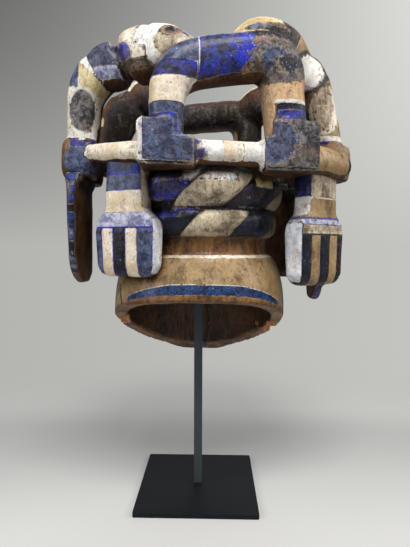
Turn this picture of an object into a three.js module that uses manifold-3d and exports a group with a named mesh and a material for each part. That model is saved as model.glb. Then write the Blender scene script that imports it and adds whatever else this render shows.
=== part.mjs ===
// Gelede headdress mask on its display stand: one carved wooden mask, a square steel post and a square foot plate.
// Millimetres, +Z up, origin at the middle of the foot plate's underside. The face looks along +Y, the nape along -Y.
import * as THREE from "three";
import { mergeVertices } from "three/addons/utils/BufferGeometryUtils.js";
import Module from "manifold-3d";

const wasm = await Module();
wasm.setup();

// Stand
const PLATE = { side: 170, thick: 6, corner: 3 };
const BAR = 12;
const GAP = 0.3;

// Helmet with its turban: height, half width, half depth at the nape, half depth at the face
const HELMET = [
  [150, 110, 108, 112],
  [182, 115, 112, 112],
  [215, 119, 116, 107],
  [250, 122, 119, 102],
  [285, 122, 119, 99],
  [312, 119, 114, 97],
  [333, 113, 107, 95],
  [346, 106, 101, 93],
  [349, 103, 98, 92],
  [351, 98, 93, 91],
  [373, 96, 92, 91],
  [375, 102, 98, 98],
  [383, 108, 106, 108],
  [395, 110, 109, 112],
  [404, 108, 107, 109],
  [409, 103, 102, 104],
  [414, 109, 108, 110],
  [425, 116, 116, 117],
  [440, 118, 118, 119],
  [452, 114, 115, 115],
  [461, 106, 107, 107],
  [472, 95, 97, 96],
  [482, 75, 77, 76],
  [489, 46, 48, 47],
  [492, 14, 14, 14],
];
const CAVITY_TOP = 448;
const CAVITY = [
  [140, 94, 92, 92],
  [215, 101, 98, 89],
  [285, 104, 100, 82],
  [340, 88, 84, 76],
  [385, 84, 80, 76],
  [425, 74, 72, 70],
  [442, 50, 50, 48],
  [CAVITY_TOP, 22, 22, 22],
];
const HELMET_X = 1.5;
const HELMET_ROUNDNESS = 2.15;
// Lower edge of the mask, height against y: high at the nape, low at the chin
const rimHeight = (y) => 252.8 - 0.481 * y - 0.00108 * y * y;
const RIM_REACH = 170;
const RIM_STEPS = 10;
const FLOOR_OF_CUT = 60;

// The open cage of limbs stands turned on the helmet: u across, v back along its depth
const CAGE_TURN = THREE.MathUtils.degToRad(10);
const CAGE = new THREE.Matrix4()
  .makeTranslation(18.6, 5.2, 0)
  .multiply(new THREE.Matrix4().makeRotationZ(CAGE_TURN));
const FAR_DROP = 6;
const FAR_DROP_ABOVE = 540;

// Face on the far side: height, half width, half depth, middle along y
const FACE_RINGS = [
  [184, 42, 30, 91],
  [194, 54, 35, 89],
  [208, 63, 36, 87],
  [226, 70, 34, 85],
  [248, 75, 32, 82],
  [274, 78, 30, 80],
  [300, 78, 27, 79],
  [324, 77, 29, 76],
  [346, 74, 29, 73],
  [368, 68, 26, 70],
];
const NOSE_RINGS = [
  [240, 20, 8, 116],
  [244, 24, 14, 116],
  [252, 22, 17, 116],
  [263, 14, 15, 113],
  [282, 9.5, 11, 109],
  [302, 9, 8, 106],
  [318, 10, 5, 104],
];
const EYE = { apart: 37, y: 98, z: 296, half: 21, bulge: 10, tall: 10.5, turn: 22 };
const MOUTH = { half: 27, z: 218, y: 108, lip: 7 };

const mix = (a, b, t) => a + (b - a) * t;
const radians = THREE.MathUtils.degToRad;
const vector = (row) => new THREE.Vector3(row[0], row[1], row[2]);

// A closed solid from any closed geometry
function solid(geometry) {
  const bare = geometry.clone();
  bare.deleteAttribute("normal");
  bare.deleteAttribute("uv");
  const shared = mergeVertices(bare, 1e-3);
  const triVerts = new Uint32Array(shared.index.array);
  const vertProperties = shared.attributes.position.array;
  return new wasm.Manifold(new wasm.Mesh({ numProp: 3, vertProperties, triVerts }));
}

const join = (solids) => solids.reduce((all, one) => all.add(one));
const inCage = (geometry) => solid(geometry.clone().applyMatrix4(CAGE));

function placed(geometry, { scale = [1, 1, 1], turn = [0, 0, 0], at }) {
  const euler = new THREE.Euler(...turn.map(radians), "ZYX");
  const quaternion = new THREE.Quaternion().setFromEuler(euler);
  const matrix = new THREE.Matrix4().compose(vector(at), quaternion, vector(scale));
  return geometry.applyMatrix4(matrix);
}

// Rings of points with one count, skinned and closed at both ends by a middle point
function skin(rings) {
  const count = rings[0].length;
  const middle = (ring) =>
    ring.reduce((sum, p) => sum.add(vector(p)), new THREE.Vector3()).divideScalar(count).toArray();
  const points = [...rings.flat(), middle(rings[0]), middle(rings.at(-1))];
  const faces = [];
  for (let i = 0; i < rings.length - 1; i++) {
    for (let k = 0; k < count; k++) {
      const a = i * count + k;
      const b = i * count + ((k + 1) % count);
      faces.push([a, b, b + count], [a, b + count, a + count]);
    }
  }
  const last = (rings.length - 1) * count;
  const bottom = rings.length * count;
  for (let k = 0; k < count; k++) {
    const next = (k + 1) % count;
    faces.push([bottom, next, k], [bottom + 1, last + k, last + next]);
  }
  const volume = faces.reduce((sum, face) => {
    const [a, b, c] = face.map((i) => vector(points[i]));
    return sum + a.dot(b.cross(c));
  }, 0);
  const outward = volume > 0 ? faces : faces.map(([a, b, c]) => [a, c, b]);
  const geometry = new THREE.BufferGeometry();
  geometry.setAttribute("position", new THREE.Float32BufferAttribute(points.flat(), 3));
  geometry.setIndex(outward.flat());
  return geometry;
}

// A point of a rounded rectangle; power 2 is an ellipse and a higher power is squarer
function roundedPoint(angle, halfWidth, halfDepth, power) {
  const c = Math.cos(angle);
  const s = Math.sin(angle);
  return [
    halfWidth * Math.sign(c) * Math.abs(c) ** (2 / power),
    halfDepth * Math.sign(s) * Math.abs(s) ** (2 / power),
  ];
}

function ringOf(sides, point) {
  return Array.from({ length: sides }, (_, k) => point(((k + 0.5) / sides) * 2 * Math.PI));
}

// Rows of numbers with smooth in-between rows
function smoothRows(rows, steps) {
  const out = [];
  for (let i = 0; i < rows.length - 1; i++) {
    const before = rows[Math.max(0, i - 1)];
    const after = rows[Math.min(rows.length - 1, i + 2)];
    for (let k = 0; k < steps; k++) {
      const t = k / steps;
      const between = rows[i].map((p1, j) => {
        const p2 = rows[i + 1][j];
        const slope = (p2 - before[j]) * t;
        const bend = (2 * before[j] - 5 * p1 + 4 * p2 - after[j]) * t * t;
        return p1 + 0.5 * (slope + bend + (3 * p1 - before[j] - 3 * p2 + after[j]) * t ** 3);
      });
      out.push(between);
    }
  }
  out.push(rows.at(-1));
  return out;
}

// A limb: rows of [x, y, z, half size across the bend, half size along `depth`] carried along the line
function limb(rows, { depth, steps = 1, sides = 10, power = 2.5 }) {
  const line = smoothRows(rows, steps);
  const along = line.map(vector);
  const rings = line.map((row, i) => {
    const next = along[Math.min(along.length - 1, i + 1)];
    const tangent = next.clone().sub(along[Math.max(0, i - 1)]).normalize();
    const deep = vector(depth);
    deep.addScaledVector(tangent, -deep.dot(tangent)).normalize();
    const wide = deep.clone().cross(tangent);
    return ringOf(sides, (angle) => {
      const [a, b] = roundedPoint(angle, row[3], row[4], power);
      return along[i].clone().addScaledVector(wide, a).addScaledVector(deep, b).toArray();
    });
  });
  return skin(rings);
}

// Level rounded rectangles one above another: rows of [z, half width, half thickness, shift across, shift out]
function tower(rows, { x, y, facing, power = 5, sides = 12 }) {
  const out = [Math.cos(radians(facing)), Math.sin(radians(facing))];
  const rings = rows.map(([z, halfWidth, halfThick, across = 0, forward = 0]) =>
    ringOf(sides, (angle) => {
      const [a, b] = roundedPoint(angle, halfWidth, halfThick, power);
      const s = a + across;
      const o = b + forward;
      return [x - out[1] * s + out[0] * o, y + out[0] * s + out[1] * o, z];
    }),
  );
  return skin(rings);
}

// Level ellipses about a middle line: rows of [z, half width, half depth, middle along y]
function levelRings(rows, sides, power) {
  const rings = rows.map(([z, halfWidth, halfDepth, y]) =>
    ringOf(sides, (angle) => {
      const [x, dy] = roundedPoint(angle, halfWidth, halfDepth, power);
      return [x, y + dy, z];
    }),
  );
  return skin(rings);
}

// The helmet's and the hollow's level sections, each with its own nape and face depth
function helmetLoft(rows, sides) {
  const rings = rows.map(([z, halfWidth, nape, face]) =>
    ringOf(sides, (angle) => {
      const depth = Math.sin(angle) > 0 ? face : nape;
      const [x, y] = roundedPoint(angle, halfWidth, depth, HELMET_ROUNDNESS);
      return [x + HELMET_X, y, z];
    }),
  );
  return skin(rings);
}

// What lies below the curved rim, to be cut away
function belowRim() {
  const shape = new THREE.Shape();
  shape.moveTo(-RIM_REACH, FLOOR_OF_CUT);
  shape.lineTo(RIM_REACH, FLOOR_OF_CUT);
  for (let i = 0; i <= RIM_STEPS; i++) {
    const y = mix(RIM_REACH, -RIM_REACH, i / RIM_STEPS);
    shape.lineTo(y, rimHeight(y));
  }
  const cut = new THREE.ExtrudeGeometry(shape, { depth: 2 * RIM_REACH, bevelEnabled: false });
  return cut.rotateX(Math.PI / 2).rotateZ(Math.PI / 2).translate(-RIM_REACH, 0, 0);
}

function ear(s) {
  const rim = limb(
    [
      [s * 84, 72, 264, 5, 8],
      [s * 97, 66, 266, 6.5, 10],
      [s * 107, 55, 284, 5.5, 10],
      [s * 109, 51, 306, 5.5, 10],
      [s * 103, 57, 321, 6, 10],
      [s * 88, 70, 324, 5, 8],
    ],
    { depth: [s * 0.72, 0.69, 0], sides: 8 },
  );
  const hollow = placed(new THREE.SphereGeometry(1, 8, 6), {
    scale: [14, 6, 24],
    turn: [0, 0, -s * 50],
    at: [s * 92, 61, 294],
  });
  return [rim, hollow];
}

function eyeAndBrow(s) {
  const ball = placed(new THREE.SphereGeometry(1, 10, 8), {
    scale: [EYE.half, EYE.bulge, EYE.tall],
    turn: [0, 0, -s * EYE.turn],
    at: [s * EYE.apart, EYE.y, EYE.z],
  });
  const brow = limb(
    [
      [s * 8, 103, 320, 3, 4],
      [s * 26, 101, 324, 4, 4],
      [s * 45, 94, 320, 4, 4],
      [s * 62, 82, 306, 3, 4],
    ],
    { depth: [0, 1, 0], sides: 6 },
  );
  return [ball, brow];
}

function lips() {
  const { half, z, y, lip } = MOUTH;
  return [1, -1].map((s) =>
    limb(
      [
        [-half, y, z, 2, 4],
        [-half / 2, y + 4, z + s * lip, lip * 0.85, 11],
        [0, y + 6, z + s * lip, lip, 12],
        [half / 2, y + 4, z + s * lip, lip * 0.85, 11],
        [half, y, z, 2, 4],
      ],
      { depth: [0, 1, 0], sides: 8, steps: 2 },
    ),
  );
}

// A calm, plain face with even proportions
function face() {
  const head = levelRings(FACE_RINGS, 18, 2.3);
  const nose = levelRings(NOSE_RINGS, 10, 2);
  const sides = [-1, 1].flatMap((s) => [...ear(s), ...eyeAndBrow(s)]);
  return [head, nose, ...lips(), ...sides];
}

// A hanging hand: wrist, flared cuff, squared palm with grooves between the fingers on its outer face
function hand({ u, v, facing, top, bottom, wide = 1, deep = 1 }) {
  const cuff = top - 62;
  const knuckles = cuff - 20;
  const palm = 43.5 * wide;
  const thick = 16 * deep;
  const rows = [
    [top, 26 * wide, 15 * deep],
    [cuff, 28 * wide, 15 * deep],
    [cuff - 14, 41 * wide, thick],
    [knuckles, palm, thick],
    [bottom + 14, 42 * wide, 15.5 * deep],
    [bottom + 4, 37 * wide, 12.5 * deep],
    [bottom, 30 * wide, 8 * deep],
  ];
  const out = [Math.cos(radians(facing)), Math.sin(radians(facing))];
  const length = knuckles - bottom - 10;
  const groove = (across) =>
    placed(new THREE.BoxGeometry(2.6, 2.6, length), {
      turn: [0, 0, facing + 45],
      at: [
        u - out[1] * across + out[0] * (thick + GAP),
        v + out[0] * across + out[1] * (thick + GAP),
        mix(bottom, knuckles, 0.5),
      ],
    });
  const grooves = [-0.6, -0.2, 0.2, 0.6].map((share) => inCage(groove(share * palm)));
  return inCage(tower(rows, { x: u, y: v, facing })).subtract(join(grooves));
}

// A flat tongue under a side joint
function tongue({ u, v, facing, top, bottom, shift = 0, inward = 0 }) {
  const rows = [
    [top, 27, 13],
    [top - 12, 33, 12],
    [top - 18, 38, 8],
    [mix(top, bottom, 0.45), 39, 7.5, 0, inward * 0.5],
    [bottom + 34, 38, 7, shift * 0.2, inward * 0.7],
    [bottom + 16, 32, 7, shift * 0.5, inward * 0.9],
    [bottom + 5, 21, 6.5, shift * 0.9, inward],
    [bottom, 11, 5, shift, inward],
  ];
  return tower(rows, { x: u, y: v, facing, power: 4, sides: 10 });
}

// An L-shaped block, a leg's foot and a ring bar's end in one: s = -1 stands left of the leg opening, +1 right
function elbowBlock({ s, inner, outer, step, low, shelf, high, v0, v1 }) {
  const chamfer = 4;
  const rounding = s < 0 ? 7 : 4;
  const shape = new THREE.Shape();
  shape.moveTo(s * inner, low);
  shape.lineTo(s * (outer - chamfer), low);
  shape.lineTo(s * outer, low + chamfer);
  shape.lineTo(s * outer, high - rounding);
  shape.lineTo(s * (outer - rounding), high);
  shape.lineTo(s * step, high);
  shape.lineTo(s * step, shelf);
  shape.lineTo(s * inner, shelf);
  const block = new THREE.ExtrudeGeometry(shape, { depth: v1 - v0, bevelEnabled: false });
  block.rotateX(Math.PI / 2).translate(0, v1, 0);
  // The lower outer edge is pared off
  const outward = Math.sign(v0);
  const paring = placed(new THREE.BoxGeometry(outer + 60, 16, 16), {
    turn: [45, 0, 0],
    at: [(s * (inner + outer)) / 2, (outward < 0 ? v0 : v1) + outward * 2, low - 4],
  });
  return inCage(block).subtract(inCage(paring));
}

// Leg, top tube, leg in one bend
function portal(far) {
  const left = far ? -75 : -73;
  const right = far ? 81 : 72;
  const tube = far ? 0.86 : 1;
  const rows = [
    [left - 2, -112, 478, 20, 25],
    [left - 1, -112, 508, 21, 27],
    [left, -112, 534, 21.5, 28],
    [left + 5, -112, 556, 24, 28],
    [left + 25, -112, 574, 27 * tube, 27],
    [-12, -112, 583, 27.5 * tube, 27],
    [22, -112, 588, 27.5 * tube, 28],
    [right - 20, -111, 590, 28 * tube, 30],
    [right - 3, -110, 572, 24, 32],
    [right, -109, 548, 22, 32],
    [right + 4, -109, 516, 21, 30],
    [right + 6, -109, 480, 20, 27],
  ];
  return { rows, shape: { depth: [0, 1, 0], sides: 12, steps: 2, power: 2.6 } };
}

// Shoulder, cut, collar, elbow and forearm
const LEFT_ARM = [
  [-42, -94, 586, 24, 24],
  [-66, -82, 600, 31, 30],
  [-92, -69, 603, 33, 33],
  [-112, -60, 600, 31, 31],
  [-121, -56, 597, 21, 22],
  [-127, -53, 596, 20, 21],
  [-131, -52, 594, 28, 28],
  [-146, -46, 590, 28, 28],
  [-156, -42, 585, 24, 25],
  [-161, -40, 580, 26, 26],
  [-172, -36, 561, 23, 25],
  [-176, -34, 538, 20, 25],
  [-178, -34, 508, 19, 24],
  [-180, -34, 474, 18, 22],
];
const LEFT_ARM_FAR = [
  [-44, -98, 586, 26, 24],
  [-68, -86, 594, 33, 30],
  [-90, -74, 594, 33, 32],
  [-106, -67, 590, 31, 31],
  [-114, -64, 586, 22, 23],
  [-120, -62, 582, 23, 23],
  [-124, -61, 576, 29, 28],
  [-133, -60, 562, 29, 27],
  [-139, -60, 545, 26, 26],
  [-144, -60, 520, 24, 25],
  [-152, -58, 498, 21, 24],
  [-160, -56, 474, 19, 22],
];
const RIGHT_ARM = [
  [20, -98, 590, 23, 24],
  [40, -88, 609, 31, 31],
  [60, -79, 613, 33, 33],
  [79, -75, 609, 31, 31],
  [94, -71, 601, 26, 27],
  [104, -69, 592, 23, 24],
  [112, -68, 588, 26, 26],
  [124, -67, 574, 23, 26],
  [132, -66, 556, 20, 25],
  [138, -65, 534, 19, 25],
  [145, -64, 508, 18.5, 24],
  [154, -63, 474, 18, 21],
];
const RIGHT_ARM_FAR = [
  [78, -100, 588, 26, 24],
  [95, -88, 602, 30, 30],
  [113, -78, 602, 30, 30],
  [126, -72, 594, 26, 26],
  [132, -69, 589, 21, 22],
  [139, -67, 581, 24, 25],
  [147, -66, 560, 20, 24],
  [151, -65, 538, 19, 24],
  [154, -64, 508, 18, 23],
  [157, -63, 474, 18, 21],
];

// Bars of the level ring on the nape side: the middle one, its collar and the two that slant to the side joints
const RING_BARS = [
  [
    [-62, -118, 474, 16, 15],
    [64, -118, 473, 16, 15],
  ],
  [
    [40, -118, 473, 18.5, 17.5],
    [47.5, -118, 473, 18.5, 17.5],
  ],
  [
    [-92, -114, 474, 14, 13.5],
    [-128, -88, 476, 13, 13],
    [-158, -64, 480, 10.5, 11],
    [-167, -56, 481, 8, 8.5],
  ],
  [
    [100, -108, 471, 20, 21],
    [128, -97, 471, 19, 19],
    [156, -88, 468, 15.5, 16],
    [168, -84, 466, 10.5, 11.5],
  ],
];
const SIDE_BARS = [
  { u: -183, z: 471, radius: 17.5, reach: 60 },
  { u: 160, z: 471, radius: 16.5, reach: 72 },
];
const JOINTS = [
  { u: -182, v: 34, wide: 25, deep: 24 },
  { u: 159, v: 62, wide: 22, deep: 21 },
];

// One half of the cage: side = -1 at the nape, +1 at the face; rows are written for the nape side
function cageHalf(side) {
  const far = side > 0;
  const lower = (z) => (far && z > FAR_DROP_ABOVE ? z - FAR_DROP : z);
  const turned = (rows) => rows.map(([u, v, z, a, b]) => [u, -side * v, lower(z), a, b]);
  const { rows, shape } = portal(far);
  const leftShape = { depth: [0.28, -side * 0.96, 0] };
  const rightShape = { depth: [-0.15, -side * 0.98, 0] };
  const geometries = [
    limb(turned(rows), shape),
    limb(turned(far ? LEFT_ARM_FAR : LEFT_ARM), leftShape),
    limb(turned(far ? RIGHT_ARM_FAR : RIGHT_ARM), rightShape),
    ...RING_BARS.map((bar) => limb(turned(bar), { depth: [0, 0, 1], power: 2.1 })),
  ];
  for (const { u, v, wide, deep } of JOINTS) {
    const sections = [
      [498, wide - 2, deep - 3],
      [488, wide, deep],
      [462, wide, deep],
      [451, wide - 2, deep - 3],
    ];
    geometries.push(tower(sections, { x: u, y: side * v, facing: 0, power: 3, sides: 10 }));
  }
  const leftTongue = { u: -184, v: side * 36, facing: far ? 190 : 170, top: 456 };
  const rightTongue = { u: 142, v: side * 58, facing: far ? 10 : -12, top: 456 };
  geometries.push(
    tongue({ ...leftTongue, bottom: far ? 318 : 312, shift: side * 12 }),
    tongue({ ...rightTongue, bottom: far ? 318 : 289, inward: -6 }),
  );
  const depths = far ? { v0: 82, v1: 141 } : { v0: -141, v1: -82 };
  return [
    ...geometries.map(inCage),
    elbowBlock({ s: -1, inner: 37, outer: 103, step: 62, low: 454, shelf: 489, high: 507, ...depths }),
    elbowBlock({ s: 1, inner: 47, outer: 110, step: 62, low: 451, shelf: 491, high: 511, ...depths }),
    hand({ u: -119, v: side * 82, facing: side * 122, top: 468, bottom: 323 }),
    hand({ u: 125, v: side * 86, facing: side * 59, top: 466, bottom: 311, wide: 1.07, deep: 1.12 }),
  ];
}

// Bars that run back along both sides, their ends showing at the joints
function sideBars() {
  return SIDE_BARS.map(({ u, z, radius, reach }) => {
    const bar = new THREE.CylinderGeometry(radius, radius, 2 * reach, 14);
    return inCage(bar.translate(u, 0, z));
  });
}

function mask() {
  const outside = join([solid(helmetLoft(HELMET, 32)), ...face().map(solid)]);
  const helmet = outside.subtract(solid(belowRim())).subtract(solid(helmetLoft(CAVITY, 24)));
  return join([helmet, ...cageHalf(-1), ...cageHalf(1), ...sideBars()]);
}

function plate() {
  const h = PLATE.side / 2;
  const r = PLATE.corner;
  const shape = new THREE.Shape();
  const corners = [
    [h - r, h - r],
    [r - h, h - r],
    [r - h, r - h],
    [h - r, r - h],
  ];
  corners.forEach(([x, y], quarter) => {
    shape.absarc(x, y, r, (quarter * Math.PI) / 2, ((quarter + 1) * Math.PI) / 2, false);
  });
  const options = { depth: PLATE.thick, bevelEnabled: false, curveSegments: 3 };
  return solid(new THREE.ExtrudeGeometry(shape, options));
}

function post() {
  const foot = PLATE.thick + GAP;
  const length = CAVITY_TOP - GAP - foot;
  return solid(new THREE.BoxGeometry(BAR, BAR, length).translate(0, 0, foot + length / 2));
}

function meshOf(name, made, material) {
  const { vertProperties, triVerts } = made.getMesh();
  const geometry = new THREE.BufferGeometry();
  geometry.setAttribute("position", new THREE.BufferAttribute(vertProperties, 3));
  geometry.setIndex(new THREE.BufferAttribute(triVerts, 1));
  geometry.computeVertexNormals();
  const mesh = new THREE.Mesh(geometry, material);
  mesh.name = name;
  return mesh;
}

const paintedWood = new THREE.MeshStandardMaterial({ color: 0x6d6470, roughness: 0.85 });
const darkSteel = new THREE.MeshStandardMaterial({ color: 0x23272e, roughness: 0.6, metalness: 0.3 });

const root = new THREE.Group();
root.name = "gelede_mask";
root.add(meshOf("stand_plate", plate(), darkSteel));
root.add(meshOf("stand_post", post(), darkSteel));
root.add(meshOf("mask", mask(), paintedWood));

export default root;
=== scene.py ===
import bmesh
import bpy
import numpy as np
from math import cos, pi, radians, sin
from mathutils import Euler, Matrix, Vector, bvhtree, noise


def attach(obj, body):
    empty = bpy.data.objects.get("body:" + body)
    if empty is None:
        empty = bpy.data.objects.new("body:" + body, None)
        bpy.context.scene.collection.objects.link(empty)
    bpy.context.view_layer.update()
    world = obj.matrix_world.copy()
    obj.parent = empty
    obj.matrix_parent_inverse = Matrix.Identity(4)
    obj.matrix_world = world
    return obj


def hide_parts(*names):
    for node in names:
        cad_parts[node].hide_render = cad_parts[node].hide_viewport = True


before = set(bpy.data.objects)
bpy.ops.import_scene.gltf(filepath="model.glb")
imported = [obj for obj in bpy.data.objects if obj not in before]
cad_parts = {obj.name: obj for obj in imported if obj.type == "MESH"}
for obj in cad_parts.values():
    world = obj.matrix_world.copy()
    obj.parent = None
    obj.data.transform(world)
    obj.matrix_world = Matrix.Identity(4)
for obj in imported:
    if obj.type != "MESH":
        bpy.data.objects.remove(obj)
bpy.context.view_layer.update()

mm = 0.001  # sizes below are in millimetres, Blender's are in metres

# What a user would change about the whole carving
carving = {
    "voxelHelmet": 2.7, "voxelCage": 2.8,  # size of the carved surface's facets
    "smoothing": 2,
    "toolMarks": 0.55,  # depth of the knife's facets
}

# Camera at the photograph's place: behind the nape, a little above the rim
camera = {"at": (0.023, -0.653, 0.3616), "turn": (86.51, -0.23, 1.2), "lens": 29.15}


# Plain mesh tools

def smoothRows(rows, steps):
    rows = np.array(rows, float)
    out = []
    for i in range(len(rows) - 1):
        p0, p1 = rows[max(0, i - 1)], rows[i]
        p2, p3 = rows[i + 1], rows[min(len(rows) - 1, i + 2)]
        for t in np.arange(steps) / steps:
            bend = (2 * p0 - 5 * p1 + 4 * p2 - p3) * t * t
            out.append(p1 + 0.5 * ((p2 - p0) * t + bend + (3 * p1 - p0 - 3 * p2 + p3) * t ** 3))
    return np.array(out + [rows[-1]])


def roundedPoints(sides, halfWidth, halfDepth, power):
    angle = (np.arange(sides) + 0.5) / sides * 2 * pi
    c, s = np.cos(angle), np.sin(angle)
    x = halfWidth * np.sign(c) * abs(c) ** (2 / power)
    return x, halfDepth * np.sign(s) * abs(s) ** (2 / power)


def skin(rings):
    # Rings of points with one count, closed at both ends by a middle point
    rings = np.array(rings)
    n, m = rings.shape[:2]
    points = np.concatenate([rings.reshape(-1, 3), rings[:1].mean(1), rings[-1:].mean(1)])
    faces = []
    for i in range(n - 1):
        for k in range(m):
            a, b = i * m + k, i * m + (k + 1) % m
            faces.append((a, b, b + m, a + m))
    last = (n - 1) * m
    for k in range(m):
        b = (k + 1) % m
        faces.append((n * m, b, k))
        faces.append((n * m + 1, last + k, last + b))
    return points, faces


def limb(rows, depth, steps=4, sides=28, power=2.5):
    line = smoothRows(rows, steps)
    along = line[:, :3]
    rings = []
    for i, row in enumerate(line):
        tangent = along[min(len(line) - 1, i + 1)] - along[max(0, i - 1)]
        tangent /= np.linalg.norm(tangent)
        deep = np.array(depth, float)
        deep -= tangent * (deep @ tangent)
        deep /= np.linalg.norm(deep)
        wide = np.cross(deep, tangent)
        a, b = roundedPoints(sides, row[3], row[4], power)
        rings.append(along[i] + np.outer(a, wide) + np.outer(b, deep))
    return skin(rings)


def tower(rows, x, y, facing, power=5, sides=40, steps=2):
    # Level rounded rectangles: rows of height, half width, half thickness, shift across, shift out
    rows = [tuple(row) + (0,) * (5 - len(row)) for row in rows]
    out = np.array([cos(radians(facing)), sin(radians(facing))])
    rings = []
    for z, halfWidth, halfThick, across, forward in smoothRows(rows, steps) if steps > 1 else np.array(rows):
        a, b = roundedPoints(sides, halfWidth, halfThick, power)
        s, o = a + across, b + forward
        rings.append(np.stack([x - out[1] * s + out[0] * o, y + out[0] * s + out[1] * o, np.full(sides, z)], 1))
    return skin(rings)


def levelRings(rows, sides, power):
    rings = []
    for z, halfWidth, halfDepth, y in smoothRows(rows, 2):
        a, b = roundedPoints(sides, halfWidth, halfDepth, power)
        rings.append(np.stack([a, b + y, np.full(sides, z)], 1))
    return skin(rings)


def ball(scale, turn, at, sides=20):
    rows = [(cos(a) * scale[2], sin(a)) for a in np.linspace(pi, 0, 13)[1:-1]]
    rings = []
    for z, r in rows:
        a, b = roundedPoints(sides, scale[0] * r, scale[1] * r, 2)
        rings.append(np.stack([a, b, np.full(sides, z)], 1))
    points, faces = skin(rings)
    spin = np.array(Euler([radians(v) for v in turn], "XYZ").to_matrix())
    return points @ spin.T + np.array(at), faces


def prism(outline, v0, v1, first=None):
    # An outline in u and z, carried from v0, where it may have another shape, to v1
    n = len(outline)
    points = np.array([(u, v, z) for v, shape in ((v0, first or outline), (v1, outline)) for u, z in shape], float)
    faces = [tuple(range(n)), tuple(range(2 * n - 1, n - 1, -1))]
    faces += [(k, k + n, (k + 1) % n + n, (k + 1) % n) for k in range(n)]
    return points, faces


def joined(parts):
    # One list of points and faces, and for each face the part that it came from
    points, faces, owners, start = [], [], [], 0
    for index, (p, f) in enumerate(parts):
        points.append(p)
        faces += [tuple(i + start for i in face) for face in f]
        owners += [index] * len(f)
        start += len(p)
    return np.concatenate(points), faces, np.array(owners)


def meshObject(name, points, faces):
    mesh = bpy.data.meshes.new(name)
    mesh.from_pydata((np.asarray(points) * mm).tolist(), [], faces)
    mesh.validate()
    made = bpy.data.objects.new(name, mesh)
    bpy.context.scene.collection.objects.link(made)
    return made


def outwardFaces(made):
    work = bmesh.new()
    work.from_mesh(made.data)
    bmesh.ops.recalc_face_normals(work, faces=work.faces)
    work.to_mesh(made.data)
    work.free()


def carved(name, points, faces, voxel, cutters=()):
    # The parts fused into one skin, cut, and skinned again so that every edge is as soft as cut wood
    made = meshObject(name, points, faces)
    fuse = made.modifiers.new("fuse", "REMESH")
    fuse.mode, fuse.voxel_size = "VOXEL", voxel * mm
    for cutter in cutters:
        cut = made.modifiers.new("cut", "BOOLEAN")
        cut.operation, cut.object, cut.solver = "DIFFERENCE", cutter, "EXACT"
    if cutters:
        soften = made.modifiers.new("soften", "REMESH")
        soften.mode, soften.voxel_size = "VOXEL", voxel * mm
    graph = bpy.context.evaluated_depsgraph_get()
    mesh = bpy.data.meshes.new_from_object(made.evaluated_get(graph))
    made.modifiers.clear()
    old = made.data
    made.data = mesh
    bpy.data.meshes.remove(old)
    for cutter in cutters:
        bpy.data.objects.remove(cutter)
    return made


def pointsOf(made):
    out = np.empty(len(made.data.vertices) * 3)
    made.data.vertices.foreach_get("co", out)
    return out.reshape(-1, 3) / mm


def putPoints(made, points):
    made.data.vertices.foreach_set("co", (points * mm).ravel())
    made.data.update()


def normalsOf(made):
    out = np.empty(len(made.data.vertices) * 3)
    made.data.vertex_normals.foreach_get("vector", out)
    return out.reshape(-1, 3)


def neighbourMean(made):
    edges = np.empty(len(made.data.edges) * 2, int)
    made.data.edges.foreach_get("vertices", edges)
    a, b = edges.reshape(-1, 2).T
    n = len(made.data.vertices)
    count = np.maximum(np.bincount(a, minlength=n) + np.bincount(b, minlength=n), 1)

    def mean(values):
        values = values.reshape(n, -1)
        total = [np.bincount(a, values[b, i], n) + np.bincount(b, values[a, i], n) for i in range(values.shape[1])]
        return np.stack(total, 1) / count[:, None]
    return mean


def smoothed(made, rounds):
    mean = neighbourMean(made)
    points = pointsOf(made)
    for step in range(rounds):
        for share in (0.5, -0.52):  # shrink, then grow back
            points = points + share * (mean(points) - points)
    putPoints(made, points)


def noiseAt(points, size, seed):
    spots = (points / size + seed).tolist()
    return np.array([noise.noise(Vector(p)) for p in spots])


def facetsAt(points, size, seed):
    spots = (points / size + seed).tolist()
    return np.array([noise.cell_vector(Vector(p))[0] for p in spots])


# The helmet with its turban and face, in the plate's frame

helmet = {
    "outside": [  # height, half width, half depth at the nape, half depth at the face
        (150, 110, 108, 112), (182, 115, 112, 112), (215, 119, 116, 107), (250, 122, 119, 102), (285, 122, 119, 99),
        (312, 119, 114, 97), (333, 113, 107, 95), (346, 106, 101, 93), (349, 103, 98, 92), (351, 98, 93, 91),
        (373, 96, 92, 91), (375, 102, 98, 98), (383, 108, 106, 108), (395, 110, 109, 112), (404, 108, 107, 109),
        (409, 103, 102, 104), (414, 109, 108, 110), (425, 116, 116, 117), (440, 118, 118, 119), (452, 114, 115, 115),
        (461, 106, 107, 107), (472, 95, 97, 96), (482, 75, 77, 76), (489, 46, 48, 47), (492, 14, 14, 14)],
    "hollow": [
        (140, 94, 92, 92), (215, 101, 98, 89), (285, 104, 100, 82), (340, 88, 84, 76), (385, 84, 80, 76),
        (425, 74, 72, 70), (442, 50, 50, 48), (448, 22, 22, 22)],
    "x": 1.5, "roundness": 2.15,
    "rim": (252.8, -0.481, -0.00108),  # lower edge's height as a curve over y
    "strands": 5, "strandWide": 36, "strandStart": -7,  # the turban's twist, in degrees round from the nape
    "groove": 2.4, "grooveWide": 3.2,
    "breaks": [  # where lacing holes at the rim have torn out: size, place
        ((9, 12, 8), (-113, 4, 246)), ((7, 9, 7), (-108, -10, 256)), ((10, 15, 13), (111, 33, 229)),
        ((9, 9, 7), (112, 16, 243)), ((3.2, 12, 3.2), (-112, -16, 268)), ((20, 3, 3), (104, 46, 240))],
}
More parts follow.
